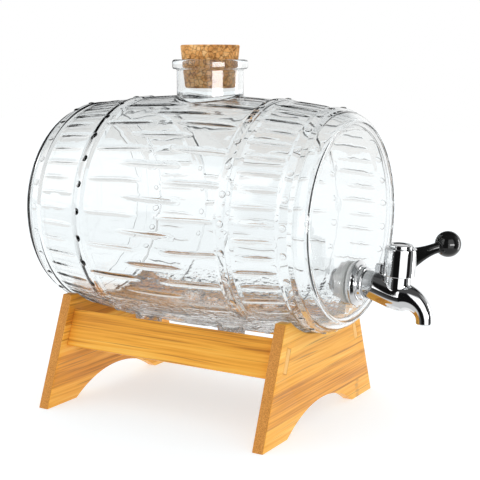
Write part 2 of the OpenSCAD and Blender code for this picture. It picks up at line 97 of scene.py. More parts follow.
NECK_X = float(cork_low[0] + cork_high[0]) / 2
HALF_LEN = float(glass_high[0] - glass_low[0]) / 2
BELLY_R = float(glass_high[1] - glass_low[1]) / 2
FOOT_REACH = 3.0 * MM
AXIS_Z = float(glass_low[2]) + FOOT_REACH + BELLY_R
NECK_TOP = float(glass_high[2])
TAP_Z = float(gasket_low[2] + gasket_high[2]) / 2
HEAD_X = NECK_X + HALF_LEN
print("barrel axis", round(AXIS_Z, 4), "belly radius", round(BELLY_R, 4), "neck at", round(NECK_X, 4))

# %% [markdown]
# ## Camera
# The photograph was taken from the front right, a little above the barrel, with
# a long lens. The camera stands on a line from a target point inside the
# object, given by a turn and a tilt, and looks back along it.

# %% Camera at the photograph's viewing angle
TARGET = Vector((-9.8 * MM, 0.0, 119.13 * MM))
DISTANCE = 0.7454
TURN = math.radians(31.0)
TILT = math.radians(9.09)
BACK = Vector((math.sin(TURN) * math.cos(TILT), -math.cos(TURN) * math.cos(TILT), math.sin(TILT)))
camera_data = bpy.data.cameras.new("photo_camera")
camera_data.sensor_width = 36.0
camera_data.lens = 80.86
camera_data.shift_x = 0.0059
camera_data.shift_y = -0.0064
camera_data.clip_end = 50.0
camera = bpy.data.objects.new("photo_camera", camera_data)
camera.location = TARGET + DISTANCE * BACK
camera.rotation_euler = BACK.to_track_quat("Z", "Y").to_euler()
scene.collection.objects.link(camera)
scene.camera = camera
print("camera at", [round(v, 3) for v in camera.location])

# %% [markdown]
# ## Node trees written as sums
# Surfaces, materials and the light round the object are all node trees. A
# small class lets the script write a tree's arithmetic the way it is spoken:
# adding two fields makes an Add node. One function makes the nodes and feeds
# their inputs, so the same lines serve shader trees and Geometry Nodes.

# %% Fields


def feed(tree, value, slot):
    """Links a field to a socket, or sets the socket's own value."""
    if isinstance(value, Field):
        tree.links.new(value.socket, slot)
    else:
        slot.default_value = value


def make(tree, kind, values=(), output=0, **settings):
    """A node with its inputs, given in order or by name, as a field of one output."""
    node = tree.nodes.new(kind)
    for name, value in settings.items():
        setattr(node, name, value)
    pairs = values.items() if isinstance(values, dict) else enumerate(values)
    for slot, value in pairs:
        feed(tree, value, node.inputs[slot])
    return Field(tree, node.outputs[output])


class Field:
    """A number, colour, vector or shape that runs through a tree."""

    def __init__(self, tree, socket):
        self.tree = tree
        self.socket = socket

    def math(self, operation, *others):
        return make(self.tree, "ShaderNodeMath", (self, *others), operation=operation)

    __add__ = partialmethod(math, "ADD")
    __sub__ = partialmethod(math, "SUBTRACT")
    __mul__ = partialmethod(math, "MULTIPLY")
    __truediv__ = partialmethod(math, "DIVIDE")
    __abs__ = partialmethod(math, "ABSOLUTE")
    root = partialmethod(math, "SQRT")
    floor = partialmethod(math, "FLOOR")
    fract = partialmethod(math, "FRACT")
    least = partialmethod(math, "MINIMUM")
    most = partialmethod(math, "MAXIMUM")

    def less_from(self, other):
        """other minus this field."""
        return (self * -1.0) + other

    def fade(self, start, end, low=0.0, high=1.0):
        """Runs smoothly from low to high while this field runs from start to end."""
        values = (self, start, end, low, high)
        return make(self.tree, "ShaderNodeMapRange", values, interpolation_type="SMOOTHSTEP")

    def others(self, *names):
        """Other outputs of the node that this field comes from."""
        return [Field(self.tree, self.socket.node.outputs[name]) for name in names]

    def parts(self):
        """The x, y and z of a vector field."""
        return make(self.tree, "ShaderNodeSeparateXYZ", (self,)).others(0, 1, 2)


def bundle(x, y, z):
    """Three numbers as one vector field."""
    return make(x.tree, "ShaderNodeCombineXYZ", (x, y, z))


def noise(vector, scale, detail=2.0, roughness=0.5):
    """Soft noise, about 0 to 1."""
    values = {"Vector": vector, "Scale": scale, "Detail": detail, "Roughness": roughness}
    return make(vector.tree, "ShaderNodeTexNoise", values)


def dice(number):
    """A fixed random number from 0 to 1 for each whole number."""
    return make(number.tree, "ShaderNodeTexWhiteNoise", {"W": number}, "Value", noise_dimensions="1D")


def stretch(vector, x, y, z):
    """The vector with each axis scaled."""
    vx, vy, vz = vector.parts()
    return bundle(vx * x, vy * y, vz * z)


def ramp(field, stops):
    """A colour for each value of a field, from (place, (r, g, b)) stops."""
    shade = make(field.tree, "ShaderNodeValToRGB", {"Fac": field})
    points = shade.socket.node.color_ramp.elements
    while len(points) < len(stops):
        points.new(0.5)
    for point, (place, colour) in zip(points, stops):
        point.position = place
        point.color = (*colour, 1.0)
    return shade


MIX_SHARE, MIX_FIRST, MIX_SECOND, MIX_RESULT = 0, 6, 7, 2


def mix(share, first, second):
    """Mixes two colours by a share from 0 to 1."""
    first, second = [c if isinstance(c, Field) else (*c, 1.0) for c in (first, second)]
    values = {MIX_SHARE: share, MIX_FIRST: first, MIX_SECOND: second}
    return make(share.tree, "ShaderNodeMix", values, MIX_RESULT, data_type="RGBA")


print("field helpers ready")

# %% [markdown]
# ## Solids from outlines
# Most of this object was turned or blown, so a handful of helpers covers it:
# an outline with rounded corners, a skin spun from an outline, a skin through
# a row of rings, and joining or cutting closed solids. Every skin is closed
# and faces outwards, which the cutting needs.

# %% Mesh helpers


def new_piece(name, verts, faces):
    """A mesh object at the origin, with its place in its points."""
    mesh = bpy.data.meshes.new(name)
    mesh.from_pydata([tuple(v) for v in verts], [], faces)
    mesh.update()
    piece = bpy.data.objects.new(name, mesh)
    scene.collection.objects.link(piece)
    return piece


def rounded(corners, steps=5):
    """An outline of (a, b) points from corners of (a, b, radius)."""
    outline = []
    for i, (a, b, radius) in enumerate(corners):
        here = np.array((a, b))
        if radius <= 0 or i in (0, len(corners) - 1):
            outline.append(here)
            continue
        before = np.array(corners[i - 1][:2]) - here
        after = np.array(corners[i + 1][:2]) - here
        before = before / np.linalg.norm(before)
        after = after / np.linalg.norm(after)
        half = math.acos(np.clip(before @ after, -1.0, 1.0)) / 2
        reach = radius / math.tan(half)
        middle = before + after
        centre = here + middle / np.linalg.norm(middle) * radius / math.sin(half)
        start = here + before * reach - centre
        end = here + after * reach - centre
        for k in range(steps + 1):
            arm = start * (steps - k) + end * k
            outline.append(centre + arm / np.linalg.norm(arm) * radius)
    return [tuple(p) for p in outline]


def ring_faces(rings, sides, closed=False):
    """Quads between rings of points; closed joins the last ring to the first."""
    faces = []
    for i in range(rings if closed else rings - 1):
        for j in range(sides):
            k = (j + 1) % sides
            low, high = i * sides, ((i + 1) % rings) * sides
            faces.append((low + j, low + k, high + k, high + j))
    return faces


def capped_skin(name, rings):
    """A closed skin through rings of points, with a fan over each end."""
    sides = len(rings[0])
    verts = [p for ring in rings for p in ring]
    faces = ring_faces(len(rings), sides)
    for ring, first, flip in ((rings[0], 0, True), (rings[-1], (len(rings) - 1) * sides, False)):
        middle = len(verts)
        verts.append(np.mean(np.array(ring), axis=0))
        for j in range(sides):
            k = (j + 1) % sides
            faces.append((first + k, first + j, middle) if flip else (first + j, first + k, middle))
    return new_piece(name, verts, faces)


def turns(sides):
    """Even turns round a circle."""
    return np.linspace(0.0, CIRCLE, sides, endpoint=False)


def spun(name, outline, sides, place, loop=False, turn=None):
    """Spins an outline of (radius, height) round its own upright axis.

    The outline runs upwards on the outside. A loop is a ring with a hole;
    otherwise the ends of the outline are closed on the axis. The turns of the
    columns may be given, to have them closer together where detail needs it."""
    if turn is None:
        turn = turns(sides)
    sides = len(turn)
    rings = []
    for radius, height in outline:
        ring = [place @ Vector((radius * math.cos(t), radius * math.sin(t), height)) for t in turn]
        rings.append(ring)
    if loop:
        verts = [p for ring in rings for p in ring]
        return new_piece(name, verts, ring_faces(len(rings), sides, closed=True))
    return capped_skin(name, rings)


def rod(name, radius, low, high, sides, place):
    """A plain cylinder between two heights."""
    return spun(name, [(MM, low), (radius, low), (radius, high), (MM, high)], sides, place)


def bake(piece):
    """Turns a piece with modifiers into a plain mesh."""
    graph = bpy.context.evaluated_depsgraph_get()
    graph.update()
    mesh = bpy.data.meshes.new_from_object(piece.evaluated_get(graph))
    piece.modifiers.clear()
    old = piece.data
    piece.data = mesh
    mesh.name = piece.name
    bpy.data.meshes.remove(old)
    return piece


def combine(base, others, operation="UNION"):
    """Joins other solids to the base, or cuts them out of it."""
    for other in others:
        cut = base.modifiers.new("combine", "BOOLEAN")
        cut.operation = operation
        cut.solver = "MANIFOLD"
        cut.object = other
    bake(base)
    for other in others:
        bpy.data.objects.remove(other)
    return base


def soften(piece, voxel, passes):
    """Blends the joins of a piece like a casting: small voxels, then smoothing."""
    grid = piece.modifiers.new("voxels", "REMESH")
    grid.mode = "VOXEL"
    grid.voxel_size = voxel
    relax = piece.modifiers.new("relax", "SMOOTH")
    relax.factor = 0.5
    relax.iterations = passes
    return bake(piece)


def finish_skin(piece, angle, material):
    """Smooth shading with edges sharper than the angle kept crisp."""
    mesh = piece.data
    mesh.shade_smooth()
    mesh.set_sharp_from_angle(angle=math.radians(angle))
    mesh.materials.clear()
    mesh.materials.append(material)
    tris = sum(len(p.vertices) - 2 for p in mesh.polygons)
    print(piece.name, tris, "triangles")
    return piece


def stand_for(piece, body, slot, *nodes):
    """The piece rides on a body in place of CAD nodes."""
    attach(piece, body)
    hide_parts(*nodes)


UPRIGHT = Matrix.Translation((NECK_X, 0.0, 0.0))
ALONG = Matrix.Translation((NECK_X, 0.0, AXIS_Z)) @ Matrix.Rotation(math.pi / 2, 4, "Y")
print("mesh helpers ready")

# %% [markdown]
# ## Finishes
# Each finish is a small tree on Object coordinates, so a pattern keeps its real
# size in metres and stays put on its piece. Handling marks are shared by every
# smooth finish, so they are one node group: faint smudges that change the
# roughness, which is what tells polished metal and glass from a drawing of it.

# %% Node groups and the shared smudges


def new_tree(kind, name, inputs, outputs):
    """An empty node tree with named sockets, and its input fields."""
    tree = bpy.data.node_groups.new(name, kind)
    for label, carries, value in inputs:
        socket = tree.interface.new_socket(label, in_out="INPUT", socket_type="NodeSocket" + carries)
        if value is not None:
            socket.default_value = value
    for label, carries in outputs:
        tree.interface.new_socket(label, in_out="OUTPUT", socket_type="NodeSocket" + carries)
    tree.nodes.new("NodeGroupOutput")
    ins = tree.nodes.new("NodeGroupInput")
    return tree, {s.name: Field(tree, s) for s in ins.outputs if s.name}


def give(tree, **values):
    """Feeds the outputs of a node tree."""
    for name, value in values.items():
        feed(tree, value, tree.nodes["Group Output"].inputs[name])


smudge_group, smudge_in = new_tree(
    "ShaderNodeTree", "handling_smudges",
    [("Vector", "Vector", None), ("Scale", "Float", 60.0),
     ("Least", "Float", 0.02), ("Most", "Float", 0.08)],
    [("Roughness", "Float")])
smudge_noise = noise(smudge_in["Vector"], smudge_in["Scale"], detail=4.0, roughness=0.62)
smudge_span = smudge_in["Most"] - smudge_in["Least"]
give(smudge_group, Roughness=smudge_noise.fade(0.35, 0.7) * smudge_span + smudge_in["Least"])


def smudges(at, scale, least, most):
    """Roughness with the shared smudges in it."""
    values = {"Vector": at, "Scale": scale, "Least": least, "Most": most}
    return make(at.tree, "ShaderNodeGroup", values, node_tree=smudge_group)


def relief(height, distance, strength=1.0):
    """The surface direction that a height field gives."""
    values = {"Strength": strength, "Distance": distance, "Height": height}
    return make(height.tree, "ShaderNodeBump", values)


def new_finish(name):
    """A new material and its Object coordinates."""
    material = bpy.data.materials.new(name)
    material.use_nodes = True
    return material, make(material.node_tree, "ShaderNodeTexCoord", output="Object")


def dress(material, **values):
    """Feeds inputs of the material's Principled shader, named with _ for a space."""
    shader = material.node_tree.nodes["Principled BSDF"]
    for name, value in values.items():
        feed(material.node_tree, value, shader.inputs[name.replace("_", " ")])


print("smudge group ready")

# %% [markdown]
# Glass, chrome and the small plastics differ mostly in their Principled
# values. The glass is clear with a trace of green, a faint moulded waviness
# and a rough underside between the heads. The chrome is a bright metal under
# handling marks. The washers and the nut behind the head are pale, so they
# hardly show through the glass.

# %% Glass, chrome and small plastics
PEBBLES = 16.0
glass, glass_at = new_finish("moulded_glass")
waviness = noise(glass_at, 60.0, detail=1.0)
glass_x, _, glass_z = glass_at.parts()
underside = glass_z.fade(AXIS_Z - 0.84 * BELLY_R, AXIS_Z - 0.62 * BELLY_R, 1.0, 0.0)
underside = underside * abs(glass_x - NECK_X).fade(0.72 * HALF_LEN, 0.88 * HALF_LEN, 1.0, 0.0)
pebble = noise(stretch(glass_at, 200.0, 340.0, 340.0), 1.0, detail=2.0) * underside
dress(glass, Base_Color=(0.930, 0.937, 0.933, 1.0), Transmission_Weight=1.0, IOR=1.5,
      Roughness=smudges(glass_at, 45.0, 0.0, 0.012),
      Normal=relief(waviness + pebble * PEBBLES, 0.00015))

chrome, chrome_at = new_finish("polished_chrome")
chrome_cloud = noise(chrome_at, 90.0, detail=3.0)
chrome_grey = ramp(chrome_cloud, [(0.2, (0.53, 0.54, 0.55)), (0.8, (0.59, 0.595, 0.60))])
dress(chrome, Metallic=1.0, Base_Color=chrome_grey, Roughness=smudges(chrome_at, 120.0, 0.02, 0.07))


def moulded(name, dark, pale, scale, least, most, shine=0.5):
    """A moulded finish: slightly clouded colour and a fine grain."""
    material, at = new_finish(name)
    dress(material, Base_Color=ramp(noise(at, scale, detail=5.0), [(0.3, dark), (0.7, pale)]),
          Roughness=smudges(at, scale * 2.0, least, most), Specular_IOR_Level=shine,
          Normal=relief(noise(at, scale * 20.0, detail=1.0), 0.00005, 0.4))
    return material


silicone = moulded("pale_silicone", (0.88, 0.90, 0.89), (0.95, 0.96, 0.95), 150.0, 0.3, 0.5)
nylon = moulded("white_nylon", (0.90, 0.91, 0.91), (0.96, 0.96, 0.96), 150.0, 0.25, 0.4)
rubber = moulded("black_rubber", (0.012, 0.012, 0.013), (0.028, 0.028, 0.03), 200.0, 0.45, 0.65)
black = moulded("black_plastic", (0.004, 0.004, 0.004), (0.008, 0.008, 0.008), 120.0, 0.04, 0.10, 0.35)
print("glass, chrome and plastics ready")

# %% [markdown]
# Bamboo boards are glued from strips cut along the cane. The colour comes from
# long fibres: fine darker streaks, each strip a little lighter or darker than
# the next, and now and then the dark scar of a node. Across the fibres, at the
# ends of a board, the cut fibre bundles show as a darker stipple. One group
# holds all this with the fibres along its own X, and each board's material
# turns the pattern with a Mapping node.

# %% Bamboo
bamboo_group, bamboo_in = new_tree(
    "ShaderNodeTree", "bamboo_fibres",
    [("Vector", "Vector", None), ("Normal", "Vector", None), ("Strip", "Float", 0.021),
     ("Seed", "Float", 0.0), ("Pale Ends", "Float", 0.0)],
    [("Color", "Color"), ("Roughness", "Float"), ("Height", "Float")])
fibre_x, fibre_y, fibre_z = bamboo_in["Vector"].parts()
strip = (fibre_z / bamboo_in["Strip"] + 0.37).floor() + bamboo_in["Seed"]
strip_tone = dice(strip)
strip_shift = dice(strip + 91.0)
drift = noise(stretch(bamboo_in["Vector"], 12.0, 30.0, 30.0), 1.0, detail=1.0) * 0.002
wavy = bundle(fibre_x + strip_shift, fibre_y + drift, fibre_z + drift)
fine = noise(stretch(wavy, 14.0, 700.0, 900.0), 1.0, detail=3.0, roughness=0.6)
broad = noise(stretch(wavy, 8.0, 260.0, 330.0), 1.0, detail=2.0, roughness=0.55)
vessel = noise(stretch(wavy, 12.0, 620.0, 800.0), 1.0, detail=1.0)
fibre_tone = fine * 0.45 + broad * 0.4 + strip_tone * 0.15
fibre_colour = ramp(fibre_tone, [
    (0.30, (0.50, 0.180, 0.020)), (0.43, (0.78, 0.330, 0.036)),
    (0.52, (0.90, 0.420, 0.052)), (0.66, (0.97, 0.56, 0.110))])
streaked = mix(vessel.fade(0.60, 0.72, 0.0, 0.7), fibre_colour, (0.42, 0.150, 0.024))
scar_at = ((fibre_x + strip_shift * 0.31) / 0.31).fract() * 0.31 - 0.155
scar = abs(scar_at + (broad - 0.5) * 0.012).fade(0.0006, 0.0042, 1.0, 0.0)
scar = scar * fine.fade(0.35, 0.6) * strip_tone.fade(0.55, 0.6)
scarred = mix(scar * 0.6, streaked, (0.40, 0.155, 0.030))
glue = abs((fibre_z / bamboo_in["Strip"] + 0.37).fract() - 0.5).fade(0.494, 0.499, 0.0, 0.25)
joined = mix(glue, scarred, (0.45, 0.18, 0.035))
stipple = noise(stretch(bamboo_in["Vector"], 500.0, 1500.0, 1500.0), 1.0, detail=2.0)
end_colour = ramp(stipple, [(0.34, (0.46, 0.180, 0.032)), (0.5, (0.62, 0.26, 0.05)),
                            (0.66, (0.72, 0.33, 0.075))])
end_colour = mix(bamboo_in["Pale Ends"], end_colour, (0.95, 0.55, 0.16))
normal_x = bamboo_in["Normal"].parts()[0]
end_share = abs(normal_x).fade(0.6, 0.85)
give(bamboo_group, Color=mix(end_share, joined, end_colour), Roughness=fine.fade(0.3, 0.7, 0.52, 0.38),
     Height=fine * 0.6 + vessel.fade(0.63, 0.74, 0.0, -0.5))


def bamboo_board(name, turn, seed, pale_ends=0.0):
    """Bamboo with its fibres turned from X by an angle about Z, and its own strips."""
    material, at = new_finish(name)
    tree = material.node_tree
    facing = make(tree, "ShaderNodeNewGeometry", output="True Normal")
    turned = []
    for source, kind in ((at, "POINT"), (facing, "NORMAL")):
        values = {"Vector": source, "Rotation": (0.0, 0.0, turn)}
        turned.append(make(tree, "ShaderNodeMapping", values, vector_type=kind))
    values = {"Vector": turned[0], "Normal": turned[1], "Seed": seed, "Pale Ends": pale_ends}
    colour = make(tree, "ShaderNodeGroup", values, "Color", node_tree=bamboo_group)
    rough, height = colour.others("Roughness", "Height")
    dress(material, Base_Color=colour, Roughness=rough, Specular_IOR_Level=0.2,
          Normal=relief(height, 0.00012, 0.5))
    return material


ACROSS = math.pi / 2
panel_bamboo = {"stand_front_panel": bamboo_board("bamboo_front", ACROSS, 3.0),
                "stand_rear_panel": bamboo_board("bamboo_rear", ACROSS, 17.0),
                "stand_rail_left": bamboo_board("bamboo_rail_left", 0.0, 29.0, 0.8),
                "stand_rail_right": bamboo_board("bamboo_rail_right", 0.0, 43.0, 0.8)}
print("bamboo ready")

# %% [markdown]
# The stopper is pressed from cork granules. A Voronoi texture gives granules:
# every cell takes its own brown from a ramp, a finer Voronoi breaks the large
# cells up, and the joints between cells are dark and lie a little deeper.

# %% Cork
GRANULES = 330.0
CRUMBS = 900.0
cork, cork_at = new_finish("pressed_cork")
cork_warp = (noise(cork_at, 420.0, detail=2.0) - 0.5) * 0.0016
cork_x, cork_y, cork_z = cork_at.parts()
warped = bundle(cork_x + cork_warp, cork_y + cork_warp, cork_z)


def cells(scale, output, feature="F1"):
    """Voronoi cells in the cork."""
    values = {"Vector": warped, "Scale": scale}
    return make(warped.tree, "ShaderNodeTexVoronoi", values, output, feature=feature)


granule = cells(GRANULES, "Color").parts()[0]
crumb = cells(CRUMBS, "Color").parts()[1]
joint = cells(GRANULES, "Distance", "DISTANCE_TO_EDGE").fade(0.0, 0.12, 1.0, 0.0)
cork_tone = granule * 0.62 + crumb * 0.28 + noise(cork_at, 1600.0, detail=2.0) * 0.22
cork_colour = ramp(cork_tone, [
    (0.16, (0.22, 0.085, 0.024)), (0.36, (0.64, 0.285, 0.085)),
    (0.60, (0.88, 0.440, 0.140)), (0.92, (0.96, 0.600, 0.270))])
dress(cork, Base_Color=mix(joint * 0.55, cork_colour, (0.10, 0.038, 0.014)), Specular_IOR_Level=0.2,
      Roughness=cork_tone.fade(0.2, 0.9, 0.9, 0.72),
      Normal=relief(cork_tone * 0.5 - joint * 0.7, 0.0004, 0.7))
print("cork ready")

# %% [markdown]
# ## The moulded glass barrel
# The glass copies a cooper's barrel: staves that swell to a belly, four raised
# hoops with rivet heads, and broken ridges where the staves would meet. A barrel
# is a rule: an outline spun round an axis. So the skin is spun from the outline
# first, and a Geometry Nodes tree then raises the rivets and ridges on it, each
# found from the turn round the axis and the distance along it. The tree also
# adds the gentle unevenness of pressed glass. The inside is a plainer skin
# through the same tree, cut out of the first; it swells softly behind the two
# middle hoops, as blown glass does, so that they don't turn black.

# %% Outline of the barrel
STAVE_CURVE = 620 * MM
WALL = 4.0 * MM
HEAD_ROUND = 9.5 * MM
HOOP_W = 10.6 * MM
HOOP_H = 1.3 * MM
HOOP_ROUND = 1.2 * MM
HOOP_SLOPE = 2.6 * MM
HOOP_EASE = 1.0 * MM
BULGE_W = 13.6 * MM
BULGE_SLOPE = 6.0 * MM
MID_HOOP = 56.0 * MM
RIM_HOOP = 96.8 * MM
BEAD_TURN = math.radians(70.0)
BEAD_HALF = math.radians(9.0)
BEAD_H = 0.5 * MM


def stave_r(x, depth=0.0):
    """Radius of the staves at a distance from the neck, some depth into the glass."""
    return BELLY_R - STAVE_CURVE + math.sqrt((STAVE_CURVE - depth) ** 2 - x * x)


def head_corner(depth):
    """Centre of the head's rounding as (radius, distance), its radius, and where the staves begin."""
    radius = HEAD_ROUND - depth / 2
    centre_x = HALF_LEN - depth - radius
    curve = STAVE_CURVE - depth
    centre_r = BELLY_R - STAVE_CURVE + math.sqrt((curve - radius) ** 2 - centre_x ** 2)
    return centre_r, centre_x, radius, centre_x * curve / (curve - radius)


def hoop_stations(centre, depth):
    """(radius, distance) over one hoop, or over the softer bulge behind it."""
    half, slope = (BULGE_W / 2, BULGE_SLOPE) if depth > 0 else (HOOP_W / 2, HOOP_SLOPE)
    rise = [(0.0, -half - HOOP_EASE, 0), (0.0, -half, HOOP_EASE), (HOOP_H, -half + slope, HOOP_ROUND)]
    corners = rise + [(HOOP_H, 0.0, 0)] + [(lift, -d, radius) for lift, d, radius in rise[::-1]]
    points = rounded(corners, steps=2)
    return [(stave_r(centre + d, depth) + lift, centre + d) for lift, d in points]


def barrel_stations(depth, hoops, step, bead=0.0):
    """The outline from the middle of the rear head to the middle of the front head."""
    corner_r, corner_x, radius, start_x = head_corner(depth)
    lean = math.asin(start_x / (STAVE_CURVE - depth))
    flat = [(r, HALF_LEN - depth) for r in np.linspace(2 * MM, corner_r - 0.5 * MM, 6)]
    turn = [math.pi / 2, *np.linspace(BEAD_TURN + BEAD_HALF, BEAD_TURN - BEAD_HALF, 9),
            *np.linspace(BEAD_TURN - BEAD_HALF, lean, 7)[1:]]
    round_off = []
    for t in turn:
        off_bead = min(abs(t - BEAD_TURN) / BEAD_HALF, 1.0)
        out = radius + bead * (0.5 + 0.5 * math.cos(math.pi * off_bead))
        round_off.append((corner_r + out * math.cos(t), corner_x + out * math.sin(t)))
    front = flat + round_off
    edges = [hoop_stations(hoop, depth) for hoop in hoops]
    staves = []
    at = -start_x
    for hoop in edges + [[(0.0, start_x)]]:
        end = hoop[0][1]
        count = max(2, int(round((end - at) / step)))
        staves += [(stave_r(x, depth), x) for x in np.linspace(at, end, count + 1)[1:-1]]
        if len(hoop) > 1:
            staves += hoop
            at = hoop[-1][1]
    rear = [(r, -x) for r, x in front]
    return rear + staves + front[::-1]


HOOPS = [-RIM_HOOP, -MID_HOOP, MID_HOOP, RIM_HOOP]
outer_outline = barrel_stations(0.0, HOOPS, 4.5 * MM, BEAD_H)
inner_outline = barrel_stations(WALL, [-MID_HOOP, MID_HOOP], 6.0 * MM)
print(len(outer_outline), "stations outside,", len(inner_outline), "inside")

# %% [markdown]
# The tree below works out, for every point of the skin, how far it has to rise
# along its normal. A ridge lies in the middle of a row; rows take turns, one with
# a single long ridge between the middle hoops, the next with two, and a fixed
# random number shifts each a little, as in a hand-cut mould. Sliding the skin
# round its own axis leaves the barrel as it is but bends the ridges slightly.

# %% Tree that raises the marks on the glass
ROW_COUNT = 44
PAIR_AT = 31.0 * MM
LONG_SIDE = (76.0 * MM, 11.5 * MM)
SHORT_SIDE = (80.0 * MM, 8.0 * MM)
STAVE_END = 100.0 * MM
SHIFT_SPAN = 7.0 * MM
MARK_INPUTS = [("Axis Height", AXIS_Z), ("Neck Place", NECK_X), ("Rows", float(ROW_COUNT)),
               ("Ridge Length", 36.0 * MM), ("Ridge Half Width", 1.1 * MM), ("Ridge Height", 0.6 * MM),
               ("Bend", 3.2 * MM), ("Unevenness", 0.5 * MM), ("Pebble Depth", 0.35 * MM)]


def geometry_tree(name, sizes):
    """An empty Geometry Nodes tree with a mesh, a finish and named sizes as inputs."""
    inputs = [("Geometry", "Geometry", None), ("Finish", "Material", None)]
    inputs += [(label, "Float", value) for label, value in sizes]
    return new_tree("GeometryNodeTree", name, inputs, [("Geometry", "Geometry")])


def end_tree(tree, fields, shape):
    """Ends a tree with a plain shape in its finish."""
    real = make(tree, "GeometryNodeRealizeInstances", (shape,))
    values = {"Geometry": real, "Material": fields["Finish"]}
    give(tree, Geometry=make(tree, "GeometryNodeSetMaterial", values))


def raise_skin(tree, fields, height, slide=None):
    """Moves the skin to a new place, if given, and along its normal by a height, and ends the tree."""
    normal = make(tree, "GeometryNodeInputNormal")
    rise = make(tree, "ShaderNodeVectorMath", {0: normal, "Scale": height}, operation="SCALE")
    values = {"Geometry": fields["Geometry"], "Offset": rise}
    if slide is not None:
        values["Position"] = slide
    end_tree(tree, fields, make(tree, "GeometryNodeSetPosition", values))


def use_tree(piece, tree, finish, values):
    """Runs a Geometry Nodes tree on a piece and keeps the result as a plain mesh."""
    modifier = piece.modifiers.new(tree.name, "NODES")
    modifier.node_group = tree
    for item in tree.interface.items_tree:
        if item.in_out != "INPUT":
            continue
        if item.name == "Finish":
            modifier[item.identifier] = finish
        if item.name in values:
            modifier[item.identifier] = values[item.name]
    return bake(piece)


marks, mark = geometry_tree("glass_marks", MARK_INPUTS)
place = make(marks, "GeometryNodeInputPosition")
mark_x, mark_y, mark_z = place.parts()
from_neck = mark_x - mark["Neck Place"]
along = abs(from_neck)
upward = mark_z - mark["Axis Height"]
around = upward.math("ARCTAN2", mark_y)
reach = (mark_y * mark_y + upward * upward).root()

row_step = mark["Rows"].math("POWER", -1.0) * CIRCLE
row_turn = around / row_step
row = row_turn.floor()
odd = row.math("FLOORED_MODULO", 2.0)
shift = (dice(row + 0.5) - 0.5) * SHIFT_SPAN
shifted = abs(from_neck + shift)
half_ridge = mark["Ridge Length"] * 0.5
pair_gap = abs(shifted - PAIR_AT) - half_ridge
single_gap = shifted - half_ridge
middle_gap = odd * pair_gap + odd.less_from(1.0) * single_gap
long_gap = abs(along - LONG_SIDE[0]) - LONG_SIDE[1]
short_gap = abs(along - SHORT_SIDE[0]) - SHORT_SIDE[1]
side_gap = odd * short_gap + odd.less_from(1.0) * long_gap
ridge_end = middle_gap.least(side_gap).fade(-1.5 * MM, 1.5 * MM, 1.0, 0.0)
from_ridge = abs(row_turn.fract() - 0.5) * row_step * reach / mark["Ridge Half Width"]
ridge_rise = from_ridge.fade(0.45, 1.0, 1.0, 0.0) * ridge_end * mark["Ridge Height"]
on_wall = along.fade(STAVE_END, STAVE_END + MM, 1.0, 0.0)

uneven = (noise(place, 26.0, detail=2.0) - 0.5) * mark["Unevenness"]
under = (upward / reach.most(0.01)).fade(-0.92, -0.62, 1.0, 0.0)
pebbles = (noise(place, 150.0, detail=1.0) - 0.5) * under * mark["Pebble Depth"]
bend_noise = noise(stretch(place, 22.0, 14.0, 14.0), 1.0, detail=1.0) - 0.5
bend = bend_noise * mark["Bend"] / reach.most(0.01)
bent_y = mark_y - upward * bend
bent_z = mark_z + mark_y * bend
bent_up = bent_z - mark["Axis Height"]
shrink = reach / (bent_y * bent_y + bent_up * bent_up).root()
slide = bundle(mark_x, bent_y * shrink, bent_up * shrink + mark["Axis Height"])
raise_skin(marks, mark, ridge_rise * on_wall + uneven + pebbles, slide)

HALF_ROW = np.array([0.045, 0.07, 0.097, 0.27])
ROW_COLUMNS = np.concatenate([[-0.5], -HALF_ROW[::-1], [0.0], HALF_ROW])
columns = np.concatenate([k + 0.5 + ROW_COLUMNS for k in range(ROW_COUNT)]) * CIRCLE / ROW_COUNT
glass_skin = spun("glass_skin", outer_outline, 0, ALONG, turn=columns)
use_tree(glass_skin, marks, glass, {})
glass_room = spun("glass_room", inner_outline, 144, ALONG)
use_tree(glass_room, marks, glass, {"Ridge Height": 0.0, "Bend": 0.0, "Unevenness": 0.7 * MM,
                                    "Pebble Depth": 0.0})
print("skin", len(glass_skin.data.polygons), "faces, inside", len(glass_room.data.polygons))

# %% [markdown]
# Each hoop carries a ring of rivet heads. They repeat exactly, so one small dome
# is instanced: a circle of points for each hoop, a dome on every point turned to
# face outwards, and the circle stood up round the barrel's axis.

# %% Rivet heads on the hoops
RIVET_R = 2.3 * MM
RIVET_H = 0.75 * MM
rivet_tree, rivet_in = geometry_tree("hoop_rivets", [
    ("Count", 27.0), ("Mid Hoop", MID_HOOP), ("Mid Radius", stave_r(MID_HOOP) + HOOP_H),
    ("Rim Hoop", RIM_HOOP), ("Rim Radius", stave_r(RIM_HOOP) + HOOP_H)])


def rivet_ring(kind, side):
    """Instances of the dome round one hoop; side is -1 for the rear and 1 for the front."""
    values = {"Vertices": rivet_in["Count"], "Radius": rivet_in[kind + " Radius"]}
    circle = make(rivet_tree, "GeometryNodeMeshCircle", values)
    spot = make(rivet_tree, "GeometryNodeInputPosition")
    outward = make(rivet_tree, "FunctionNodeAlignRotationToVector", {"Vector": spot}, axis="Z")
    values = {"Points": circle, "Instance": rivet_in["Geometry"], "Rotation": outward}
    domes = make(rivet_tree, "GeometryNodeInstanceOnPoints", values)
    hoop_at = bundle(rivet_in[kind + " Hoop"] * side + NECK_X, 0.0, AXIS_Z)
    values = {"Geometry": domes, "Rotation": (0.0, math.pi / 2, 0.0), "Translation": hoop_at}
    return make(rivet_tree, "GeometryNodeTransform", values)


